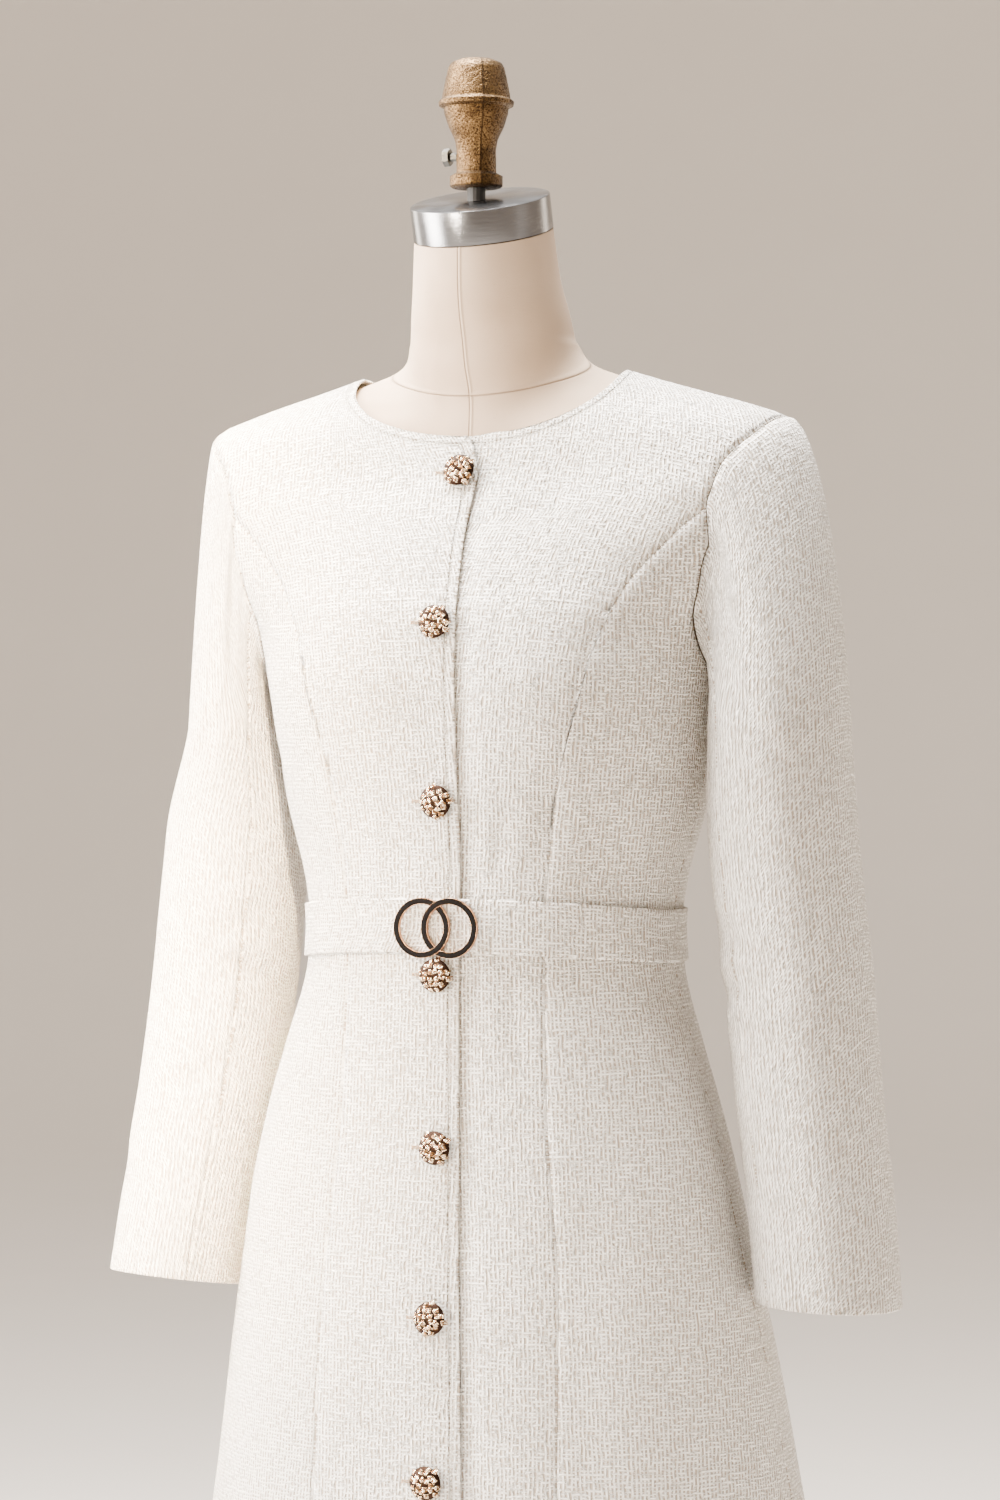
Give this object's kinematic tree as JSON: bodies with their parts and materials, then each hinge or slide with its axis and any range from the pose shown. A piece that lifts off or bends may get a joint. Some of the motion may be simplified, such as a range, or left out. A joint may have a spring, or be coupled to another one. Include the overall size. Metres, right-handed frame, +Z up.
{
  "type": "sheath dress on a dress form",
  "caption": "Buttoned long-sleeved sheath dress with princess seams and a narrow belt, worn on a limbless dress form that stands on a pole with a round foot.",
  "frame": {"origin": "on the floor under the middle of the round foot", "axes": "+Z up along the pole; the dress's front faces -Y and the wearer's left side is +X"},
  "size_m": [0.5809, 0.403, 1.6288],
  "materials": {
    "dress_cloth": "off-white tweed with looped yarn",
    "facing_cloth": "smooth cream cotton",
    "button_metal": "polished gilt, knotted strands",
    "buckle_enamel": "black enamel face on rose-gold metal",
    "form_cloth": "cream canvas",
    "brushed_steel": "brushed",
    "zinc_screw": "zinc plated",
    "cast_finial": "rough cast, antique gold",
    "black_iron": "satin black",
    "stand_steel": "satin"
  },
  "bodies": {
    "root": {"front_right": "dress_cloth", "front_left": "dress_cloth", "side_front_right": "dress_cloth", "side_front_left": "dress_cloth", "side_back_right": "dress_cloth", "side_back_left": "dress_cloth", "back": "dress_cloth", "upper_sleeve_right": "dress_cloth", "upper_sleeve_left": "dress_cloth", "under_sleeve_right": "dress_cloth", "under_sleeve_left": "dress_cloth", "cuff_facing_right": "facing_cloth", "cuff_facing_left": "facing_cloth", "belt": "dress_cloth", "buckle": "buckle_enamel", "button_1": "button_metal", "button_2": "button_metal", "button_3": "button_metal", "button_4": "button_metal", "button_5": "button_metal", "button_6": "button_metal", "button_7": "button_metal", "button_8": "button_metal", "form_body": "form_cloth", "neck_cap": "brushed_steel", "neck_post": "black_iron", "finial": "cast_finial", "set_screw": "zinc_screw", "under_plate": "black_iron", "pole": "stand_steel", "foot": "stand_steel"}
  },
  "joints": []
}
